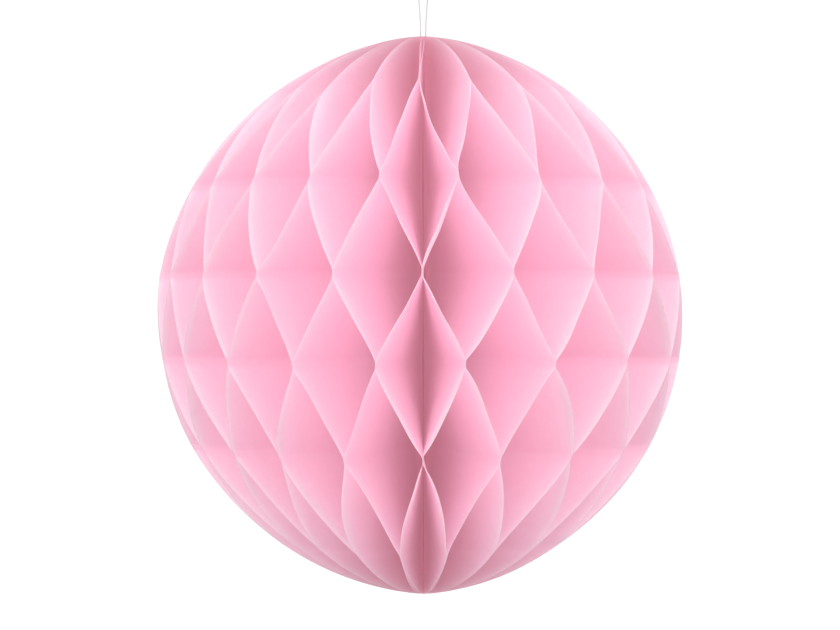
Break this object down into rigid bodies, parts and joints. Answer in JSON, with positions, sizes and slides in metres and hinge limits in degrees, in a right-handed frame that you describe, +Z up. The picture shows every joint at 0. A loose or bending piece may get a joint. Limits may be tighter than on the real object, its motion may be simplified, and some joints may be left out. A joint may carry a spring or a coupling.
{
  "type": "paper honeycomb ball",
  "caption": "Hanging tissue-paper honeycomb ball: half-round leaves glued in alternating rows round a thread spine, with card covers and a hanging loop; folds flat like a book.",
  "frame": {"origin": "the centre of the open ball, on its spine", "axes": "+Z up the spine to the hanging loop; -Y is the front, and the seam of the covers is at the back"},
  "size_m": [0.2797, 0.2798, 0.3627],
  "materials": {
    "tissue": "matte",
    "card": "matte",
    "tape": "satin",
    "thread": "matte"
  },
  "bodies": {
    "spine": {"spine_thread": "thread", "top_knot": "thread", "bottom_knot": "thread", "top_stitch": "thread", "bottom_stitch": "thread", "hanging_loop": "thread"},
    "cover_left": {"cover_left": "card", "seam_tape_upper": "tape", "seam_tape_middle": "tape", "seam_tape_lower": "tape"},
    "cover_right": {"cover_right": "card"},
    "leaf_01": {"leaf_01": "tissue"},
    "leaf_02": {"leaf_02": "tissue"},
    "leaf_03": {"leaf_03": "tissue"},
    "leaf_04": {"leaf_04": "tissue"},
    "leaf_05": {"leaf_05": "tissue"},
    "leaf_06": {"leaf_06": "tissue"},
    "leaf_07": {"leaf_07": "tissue"},
    "leaf_08": {"leaf_08": "tissue"},
    "leaf_09": {"leaf_09": "tissue"},
    "leaf_10": {"leaf_10": "tissue"},
    "leaf_11": {"leaf_11": "tissue"},
    "leaf_12": {"leaf_12": "tissue"},
    "leaf_13": {"leaf_13": "tissue"},
    "leaf_14": {"leaf_14": "tissue"},
    "leaf_15": {"leaf_15": "tissue"},
    "leaf_16": {"leaf_16": "tissue"},
    "leaf_17": {"leaf_17": "tissue"},
    "leaf_18": {"leaf_18": "tissue"},
    "leaf_19": {"leaf_19": "tissue"},
    "leaf_20": {"leaf_20": "tissue"},
    "leaf_21": {"leaf_21": "tissue"},
    "leaf_22": {"leaf_22": "tissue"},
    "leaf_23": {"leaf_23": "tissue"},
    "leaf_24": {"leaf_24": "tissue"},
    "leaf_25": {"leaf_25": "tissue"},
    "leaf_26": {"leaf_26": "tissue"},
    "leaf_27": {"leaf_27": "tissue"},
    "leaf_28": {"leaf_28": "tissue"},
    "leaf_29": {"leaf_29": "tissue"},
    "leaf_30": {"leaf_30": "tissue"},
    "leaf_31": {"leaf_31": "tissue"},
    "leaf_32": {"leaf_32": "tissue"},
    "leaf_33": {"leaf_33": "tissue"},
    "leaf_34": {"leaf_34": "tissue"},
    "leaf_35": {"leaf_35": "tissue"},
    "leaf_36": {"leaf_36": "tissue"},
    "leaf_37": {"leaf_37": "tissue"},
    "leaf_38": {"leaf_38": "tissue"},
    "leaf_39": {"leaf_39": "tissue"},
    "leaf_40": {"leaf_40": "tissue"}
  },
  "joints": [
    {"name": "fold", "type": "hinge", "parent": "spine", "child": "cover_right", "pos_m": [0.00281, 0.0004, 0], "axis": [0, 0, 1], "range_deg": [-196.04, 0], "deforming": ["top_stitch", "bottom_stitch"]},
    {"name": "cover_left_fold", "type": "hinge", "parent": "spine", "child": "cover_left", "pos_m": [-0.00281, -0.0004, 0], "axis": [0, 0, 1], "range_deg": [-0.01, 163.97]},
    {"name": "leaf_01_fold", "type": "hinge", "parent": "spine", "child": "leaf_01", "pos_m": [-0.00267, -0.00048, 0], "axis": [0, 0, 1], "range_deg": [-0.01, 159.52], "deforming": ["leaf_01"]},
    {"name": "leaf_02_fold", "type": "hinge", "parent": "spine", "child": "leaf_02", "pos_m": [-0.00253, -0.00066, 0], "axis": [0, 0, 1], "range_deg": [-0.01, 150.71], "deforming": ["leaf_02"]},
    {"name": "leaf_03_fold", "type": "hinge", "parent": "spine", "child": "leaf_03", "pos_m": [-0.0024, -0.00082, 0], "axis": [0, 0, 1], "range_deg": [-0.01, 142.1], "deforming": ["leaf_03"]},
    {"name": "leaf_04_fold", "type": "hinge", "parent": "spine", "child": "leaf_04", "pos_m": [-0.00226, -0.00097, 0], "axis": [0, 0, 1], "range_deg": [-0.01, 133.67], "deforming": ["leaf_04"]},
    {"name": "leaf_05_fold", "type": "hinge", "parent": "spine", "child": "leaf_05", "pos_m": [-0.00212, -0.0011, 0], "axis": [0, 0, 1], "range_deg": [-0.01, 125.41], "deforming": ["leaf_05"]},
    {"name": "leaf_06_fold", "type": "hinge", "parent": "spine", "child": "leaf_06", "pos_m": [-0.00199, -0.00121, 0], "axis": [0, 0, 1], "range_deg": [-0.01, 117.3], "deforming": ["leaf_06"]},
    {"name": "leaf_07_fold", "type": "hinge", "parent": "spine", "child": "leaf_07", "pos_m": [-0.00185, -0.00131, 0], "axis": [0, 0, 1], "range_deg": [-0.01, 109.31], "deforming": ["leaf_07"]},
    {"name": "leaf_08_fold", "type": "hinge", "parent": "spine", "child": "leaf_08", "pos_m": [-0.00171, -0.0014, 0], "axis": [0, 0, 1], "range_deg": [-0.01, 101.43], "deforming": ["leaf_08"]},
    {"name": "leaf_09_fold", "type": "hinge", "parent": "spine", "child": "leaf_09", "pos_m": [-0.00158, -0.00148, 0], "axis": [0, 0, 1], "range_deg": [-0.01, 93.62], "deforming": ["leaf_09"]},
    {"name": "leaf_10_fold", "type": "hinge", "parent": "spine", "child": "leaf_10", "pos_m": [-0.00144, -0.00155, 0], "axis": [0, 0, 1], "range_deg": [-0.01, 85.86], "deforming": ["leaf_10"]},
    {"name": "leaf_11_fold", "type": "hinge", "parent": "spine", "child": "leaf_11", "pos_m": [-0.0013, -0.0016, 0], "axis": [0, 0, 1], "range_deg": [-0.01, 78.12], "deforming": ["leaf_11"]},
    {"name": "leaf_12_fold", "type": "hinge", "parent": "spine", "child": "leaf_12", "pos_m": [-0.00117, -0.00165, 0], "axis": [0, 0, 1], "range_deg": [-0.01, 70.36], "deforming": ["leaf_12"]},
    {"name": "leaf_13_fold", "type": "hinge", "parent": "spine", "child": "leaf_13", "pos_m": [-0.00103, -0.00169, 0], "axis": [0, 0, 1], "range_deg": [-0.01, 62.55], "deforming": ["leaf_13"]},
    {"name": "leaf_14_fold", "type": "hinge", "parent": "spine", "child": "leaf_14", "pos_m": [-0.00089, -0.00172, 0], "axis": [0, 0, 1], "range_deg": [-0.01, 54.67], "deforming": ["leaf_14"]},
    {"name": "leaf_15_fold", "type": "hinge", "parent": "spine", "child": "leaf_15", "pos_m": [-0.00075, -0.00175, 0], "axis": [0, 0, 1], "range_deg": [-0.01, 46.68], "deforming": ["leaf_15"]},
    {"name": "leaf_16_fold", "type": "hinge", "parent": "spine", "child": "leaf_16", "pos_m": [-0.00062, -0.00176, 0], "axis": [0, 0, 1], "range_deg": [-0.01, 38.57], "deforming": ["leaf_16"]},
    {"name": "leaf_17_fold", "type": "hinge", "parent": "spine", "child": "leaf_17", "pos_m": [-0.00048, -0.00177, 0], "axis": [0, 0, 1], "range_deg": [-0.01, 30.31], "deforming": ["leaf_17"]},
    {"name": "leaf_18_fold", "type": "hinge", "parent": "spine", "child": "leaf_18", "pos_m": [-0.00034, -0.00177, 0], "axis": [0, 0, 1], "range_deg": [-0.01, 21.88], "deforming": ["leaf_18"]},
    {"name": "leaf_19_fold", "type": "hinge", "parent": "spine", "child": "leaf_19", "pos_m": [-0.0002, -0.00177, 0], "axis": [0, 0, 1], "range_deg": [-0.01, 13.26], "deforming": ["leaf_19"]},
    {"name": "leaf_20_fold", "type": "hinge", "parent": "spine", "child": "leaf_20", "pos_m": [-0.00007, -0.00176, 0], "axis": [0, 0, 1], "range_deg": [-0.01, 4.46], "deforming": ["leaf_20"]},
    {"name": "leaf_21_fold", "type": "hinge", "parent": "spine", "child": "leaf_21", "pos_m": [0.00007, -0.00172, 0], "axis": [0, 0, 1], "range_deg": [-4.56, 0.01], "deforming": ["leaf_21"]},
    {"name": "leaf_22_fold", "type": "hinge", "parent": "spine", "child": "leaf_22", "pos_m": [0.0002, -0.0017, 0], "axis": [0, 0, 1], "range_deg": [-13.76, 0.01], "deforming": ["leaf_22"]},
    {"name": "leaf_23_fold", "type": "hinge", "parent": "spine", "child": "leaf_23", "pos_m": [0.00034, -0.00167, 0], "axis": [0, 0, 1], "range_deg": [-23.14, 0.01], "deforming": ["leaf_23"]},
    {"name": "leaf_24_fold", "type": "hinge", "parent": "spine", "child": "leaf_24", "pos_m": [0.00048, -0.00163, 0], "axis": [0, 0, 1], "range_deg": [-32.71, 0.01], "deforming": ["leaf_24"]},
    {"name": "leaf_25_fold", "type": "hinge", "parent": "spine", "child": "leaf_25", "pos_m": [0.00062, -0.00159, 0], "axis": [0, 0, 1], "range_deg": [-42.45, 0.01], "deforming": ["leaf_25"]},
    {"name": "leaf_26_fold", "type": "hinge", "parent": "spine", "child": "leaf_26", "pos_m": [0.00075, -0.00153, 0], "axis": [0, 0, 1], "range_deg": [-52.34, 0.01], "deforming": ["leaf_26"]},
    {"name": "leaf_27_fold", "type": "hinge", "parent": "spine", "child": "leaf_27", "pos_m": [0.00089, -0.00147, 0], "axis": [0, 0, 1], "range_deg": [-62.35, 0.01], "deforming": ["leaf_27"]},
    {"name": "leaf_28_fold", "type": "hinge", "parent": "spine", "child": "leaf_28", "pos_m": [0.00103, -0.0014, 0], "axis": [0, 0, 1], "range_deg": [-72.47, 0.01], "deforming": ["leaf_28"]},
    {"name": "leaf_29_fold", "type": "hinge", "parent": "spine", "child": "leaf_29", "pos_m": [0.00116, -0.00132, 0], "axis": [0, 0, 1], "range_deg": [-82.67, 0.01], "deforming": ["leaf_29"]},
    {"name": "leaf_30_fold", "type": "hinge", "parent": "spine", "child": "leaf_30", "pos_m": [0.0013, -0.00124, 0], "axis": [0, 0, 1], "range_deg": [-92.9, 0.01], "deforming": ["leaf_30"]},
    {"name": "leaf_31_fold", "type": "hinge", "parent": "spine", "child": "leaf_31", "pos_m": [0.00144, -0.00114, 0], "axis": [0, 0, 1], "range_deg": [-103.16, 0.01], "deforming": ["leaf_31"]},
    {"name": "leaf_32_fold", "type": "hinge", "parent": "spine", "child": "leaf_32", "pos_m": [0.00158, -0.00103, 0], "axis": [0, 0, 1], "range_deg": [-113.4, 0.01], "deforming": ["leaf_32"]},
    {"name": "leaf_33_fold", "type": "hinge", "parent": "spine", "child": "leaf_33", "pos_m": [0.00171, -0.00092, 0], "axis": [0, 0, 1], "range_deg": [-123.59, 0.01], "deforming": ["leaf_33"]},
    {"name": "leaf_34_fold", "type": "hinge", "parent": "spine", "child": "leaf_34", "pos_m": [0.00185, -0.00079, 0], "axis": [0, 0, 1], "range_deg": [-133.71, 0.01], "deforming": ["leaf_34"]},
    {"name": "leaf_35_fold", "type": "hinge", "parent": "spine", "child": "leaf_35", "pos_m": [0.00199, -0.00065, 0], "axis": [0, 0, 1], "range_deg": [-143.72, 0.01], "deforming": ["leaf_35"]},
    {"name": "leaf_36_fold", "type": "hinge", "parent": "spine", "child": "leaf_36", "pos_m": [0.00212, -0.0005, 0], "axis": [0, 0, 1], "range_deg": [-153.61, 0.01], "deforming": ["leaf_36"]},
    {"name": "leaf_37_fold", "type": "hinge", "parent": "spine", "child": "leaf_37", "pos_m": [0.00226, -0.00033, 0], "axis": [0, 0, 1], "range_deg": [-163.35, 0.01], "deforming": ["leaf_37"]},
    {"name": "leaf_38_fold", "type": "hinge", "parent": "spine", "child": "leaf_38", "pos_m": [0.0024, -0.00015, 0], "axis": [0, 0, 1], "range_deg": [-172.92, 0.01], "deforming": ["leaf_38"]},
    {"name": "leaf_39_fold", "type": "hinge", "parent": "spine", "child": "leaf_39", "pos_m": [0.00253, 0.00005, 0], "axis": [0, 0, 1], "range_deg": [-182.31, 0.01], "deforming": ["leaf_39"]},
    {"name": "leaf_40_fold", "type": "hinge", "parent": "spine", "child": "leaf_40", "pos_m": [0.00267, 0.00027, 0], "axis": [0, 0, 1], "range_deg": [-191.5, 0.01], "deforming": ["leaf_40"]}
  ],
  "couplings": [
    {"joint": "cover_left_fold", "follows": "fold", "ratio": -0.83633},
    {"joint": "leaf_01_fold", "follows": "fold", "ratio": -0.81363},
    {"joint": "leaf_02_fold", "follows": "fold", "ratio": -0.76872},
    {"joint": "leaf_03_fold", "follows": "fold", "ratio": -0.72479},
    {"joint": "leaf_04_fold", "follows": "fold", "ratio": -0.68179},
    {"joint": "leaf_05_fold", "follows": "fold", "ratio": -0.63965},
    {"joint": "leaf_06_fold", "follows": "fold", "ratio": -0.59826},
    {"joint": "leaf_07_fold", "follows": "fold", "ratio": -0.55753},
    {"joint": "leaf_08_fold", "follows": "fold", "ratio": -0.51733},
    {"joint": "leaf_09_fold", "follows": "fold", "ratio": -0.47751},
    {"joint": "leaf_10_fold", "follows": "fold", "ratio": -0.43792},
    {"joint": "leaf_11_fold", "follows": "fold", "ratio": -0.39841},
    {"joint": "leaf_12_fold", "follows": "fold", "ratio": -0.35883},
    {"joint": "leaf_13_fold", "follows": "fold", "ratio": -0.31901},
    {"joint": "leaf_14_fold", "follows": "fold", "ratio": -0.2788},
    {"joint": "leaf_15_fold", "follows": "fold", "ratio": -0.23807},
    {"joint": "leaf_16_fold", "follows": "fold", "ratio": -0.19669},
    {"joint": "leaf_17_fold", "follows": "fold", "ratio": -0.15454},
    {"joint": "leaf_18_fold", "follows": "fold", "ratio": -0.11154},
    {"joint": "leaf_19_fold", "follows": "fold", "ratio": -0.067609},
    {"joint": "leaf_20_fold", "follows": "fold", "ratio": -0.022702},
    {"joint": "leaf_21_fold", "follows": "fold", "ratio": 0.023206},
    {"joint": "leaf_22_fold", "follows": "fold", "ratio": 0.070116},
    {"joint": "leaf_23_fold", "follows": "fold", "ratio": 0.118},
    {"joint": "leaf_24_fold", "follows": "fold", "ratio": 0.16682},
    {"joint": "leaf_25_fold", "follows": "fold", "ratio": 0.21649},
    {"joint": "leaf_26_fold", "follows": "fold", "ratio": 0.26692},
    {"joint": "leaf_27_fold", "follows": "fold", "ratio": 0.31801},
    {"joint": "leaf_28_fold", "follows": "fold", "ratio": 0.36962},
    {"joint": "leaf_29_fold", "follows": "fold", "ratio": 0.42162},
    {"joint": "leaf_30_fold", "follows": "fold", "ratio": 0.47385},
    {"joint": "leaf_31_fold", "follows": "fold", "ratio": 0.52615},
    {"joint": "leaf_32_fold", "follows": "fold", "ratio": 0.57838},
    {"joint": "leaf_33_fold", "follows": "fold", "ratio": 0.63038},
    {"joint": "leaf_34_fold", "follows": "fold", "ratio": 0.68199},
    {"joint": "leaf_35_fold", "follows": "fold", "ratio": 0.73308},
    {"joint": "leaf_36_fold", "follows": "fold", "ratio": 0.78351},
    {"joint": "leaf_37_fold", "follows": "fold", "ratio": 0.83318},
    {"joint": "leaf_38_fold", "follows": "fold", "ratio": 0.882},
    {"joint": "leaf_39_fold", "follows": "fold", "ratio": 0.92988},
    {"joint": "leaf_40_fold", "follows": "fold", "ratio": 0.97679}
  ]
}
